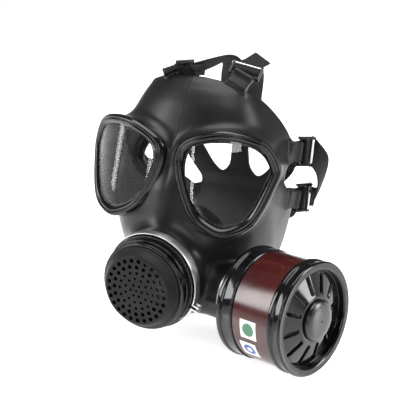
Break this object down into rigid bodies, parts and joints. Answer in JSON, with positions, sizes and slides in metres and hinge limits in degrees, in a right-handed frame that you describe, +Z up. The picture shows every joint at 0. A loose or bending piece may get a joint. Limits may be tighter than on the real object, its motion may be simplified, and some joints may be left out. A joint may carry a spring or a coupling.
{
  "type": "full face respirator",
  "caption": "Black rubber full face respirator with two clear lenses, a front outlet valve, a side screw-in filter canister and a strap harness.",
  "frame": {"origin": "eye datum: midway between the two lens centres on the plane of symmetry, where the wearer's face sits in front of the face opening", "axes": "+Z up, -Y to the front of the mask, +Y out of the face opening towards the back of the head, +X to the wearer's left, where the canister is"},
  "size_m": [0.2864, 0.2275, 0.2519],
  "materials": {
    "moulded_rubber": "satin moulded",
    "harness_rubber": "matt moulded",
    "nose_cup_rubber": "satin moulded",
    "gasket_rubber": "matt",
    "valve_silicone": "translucent satin",
    "clear_lens": "clear polished polycarbonate",
    "gloss_frame": "gloss black",
    "satin_plastic": "satin black",
    "matte_plastic": "fine matt black",
    "buckle_plastic": "black",
    "film": "thin clear film",
    "aluminium_ring": "satin",
    "steel_band": "brushed",
    "steel_screw": "zinc plated",
    "bright_bar": "bright plated",
    "steel_screen": "woven screen",
    "gloss_enamel": "gloss black enamel",
    "satin_dome": "satin black",
    "label_film": "gloss printed film, deep red-brown",
    "carbon": "granular",
    "filter_paper": "pleated glass-fibre paper",
    "webbing": "woven elastic webbing"
  },
  "bodies": {
    "mask": {"check_seat_left": "satin_plastic", "check_seat_right": "satin_plastic", "diaphragm_ring": "aluminium_ring", "face_blank": "moulded_rubber", "harness_plate": "harness_rubber", "inhalation_seat": "satin_plastic", "inlet_clamp": "steel_band", "inlet_clamp_screw": "steel_screw", "inlet_connector": "satin_plastic", "lens_frame_left": "gloss_frame", "lens_frame_right": "gloss_frame", "lens_left": "clear_lens", "lens_retainer_left": "satin_plastic", "lens_retainer_right": "satin_plastic", "lens_right": "clear_lens", "nose_cup": "nose_cup_rubber", "outlet_clamp": "steel_band", "outlet_clamp_screw": "steel_screw", "outlet_housing": "satin_plastic", "speech_diaphragm": "film", "strap_cheek_left": "webbing", "strap_cheek_right": "webbing", "strap_forehead_left": "webbing", "strap_forehead_right": "webbing", "strap_temple_left": "webbing", "strap_temple_right": "webbing", "valve_plate": "satin_plastic"},
    "outlet_cover_body": {"bayonet_collar": "gloss_frame", "outlet_cover": "matte_plastic"},
    "exhalation_valve_body": {"exhalation_valve": "valve_silicone"},
    "inhalation_valve_body": {"inhalation_valve": "valve_silicone"},
    "check_valve_left_body": {"check_valve_left": "valve_silicone"},
    "check_valve_right_body": {"check_valve_right": "valve_silicone"},
    "gasket_body": {"canister_gasket": "gasket_rubber"},
    "canister_body": {"canister_shell": "gloss_enamel", "canister_rear_cap": "gloss_enamel", "canister_front_cap": "gloss_enamel", "canister_label": "label_film", "canister_dome": "satin_dome", "canister_screens": "steel_screen", "carbon_bed": "carbon", "particle_filter": "filter_paper"},
    "buckle_forehead_left_body": {"buckle_forehead_left": "buckle_plastic", "roller_forehead_left": "bright_bar", "strap_end_forehead_left": "webbing"},
    "buckle_forehead_right_body": {"buckle_forehead_right": "buckle_plastic", "roller_forehead_right": "bright_bar", "strap_end_forehead_right": "webbing"},
    "buckle_temple_left_body": {"buckle_temple_left": "buckle_plastic", "roller_temple_left": "bright_bar", "strap_end_temple_left": "webbing"},
    "buckle_temple_right_body": {"buckle_temple_right": "buckle_plastic", "roller_temple_right": "bright_bar", "strap_end_temple_right": "webbing"},
    "buckle_cheek_left_body": {"buckle_cheek_left": "buckle_plastic", "roller_cheek_left": "bright_bar", "strap_end_cheek_left": "webbing"},
    "buckle_cheek_right_body": {"buckle_cheek_right": "buckle_plastic", "roller_cheek_right": "bright_bar", "strap_end_cheek_right": "webbing"}
  },
  "joints": [
    {"name": "outlet_cover_turn", "type": "hinge", "parent": "mask", "child": "outlet_cover_body", "pos_m": [0, 0, -0.0946], "axis": [0, -0.9969, 0.0785], "range_deg": [0, 30]},
    {"name": "exhalation_valve_lift", "type": "slide", "parent": "mask", "child": "exhalation_valve_body", "axis": [0, -0.9969, 0.0785], "range_m": [0, 0.0015]},
    {"name": "inhalation_valve_lift", "type": "slide", "parent": "mask", "child": "inhalation_valve_body", "axis": [-0.9554, 0.2776, -0.1011], "range_m": [0, 0.0015]},
    {"name": "check_valve_left_lift", "type": "slide", "parent": "mask", "child": "check_valve_left_body", "axis": [-0.9326, 0.361, 0], "range_m": [0, 0.0015]},
    {"name": "check_valve_right_lift", "type": "slide", "parent": "mask", "child": "check_valve_right_body", "axis": [0.9326, 0.361, 0], "range_m": [0, 0.0015]},
    {"name": "canister_advance", "type": "slide", "parent": "mask", "child": "gasket_body", "axis": [0.9554, -0.2776, 0.1011], "range_m": [0, 0.0109]},
    {"name": "canister_turn", "type": "hinge", "parent": "gasket_body", "child": "canister_body", "pos_m": [0.0866, -0.0109, -0.1037], "axis": [0.9554, -0.2776, 0.1011], "range_deg": [0, 1080]},
    {"name": "buckle_forehead_left_hinge", "type": "hinge", "parent": "mask", "child": "buckle_forehead_left_body", "pos_m": [0.043, 0.058, 0.08], "axis": [-0.9668, -0.161, 0.1986], "range_deg": [-8, 8]},
    {"name": "buckle_forehead_right_hinge", "type": "hinge", "parent": "mask", "child": "buckle_forehead_right_body", "pos_m": [-0.019, 0.055, 0.079], "axis": [-0.1882, 0.7297, -0.6574], "range_deg": [-8, 15]},
    {"name": "buckle_temple_left_hinge", "type": "hinge", "parent": "mask", "child": "buckle_temple_left_body", "pos_m": [0.086, 0.094, 0.003], "axis": [0.0491, 0.0356, 0.9982], "range_deg": [-10, 10]},
    {"name": "buckle_temple_right_hinge", "type": "hinge", "parent": "mask", "child": "buckle_temple_right_body", "pos_m": [-0.086, 0.094, 0.003], "axis": [0.0491, -0.0356, -0.9982], "range_deg": [-10, 10]},
    {"name": "buckle_cheek_left_hinge", "type": "hinge", "parent": "mask", "child": "buckle_cheek_left_body", "pos_m": [0.085, 0.097, -0.046], "axis": [0.0527, 0.0599, 0.9968], "range_deg": [-10, 15]},
    {"name": "buckle_cheek_right_hinge", "type": "hinge", "parent": "mask", "child": "buckle_cheek_right_body", "pos_m": [-0.085, 0.097, -0.046], "axis": [0.0527, -0.0599, -0.9968], "range_deg": [-10, 15]}
  ],
  "couplings": [
    {"joint": "canister_advance", "follows": "canister_turn", "m_per_rad": 0.00057757}
  ]
}
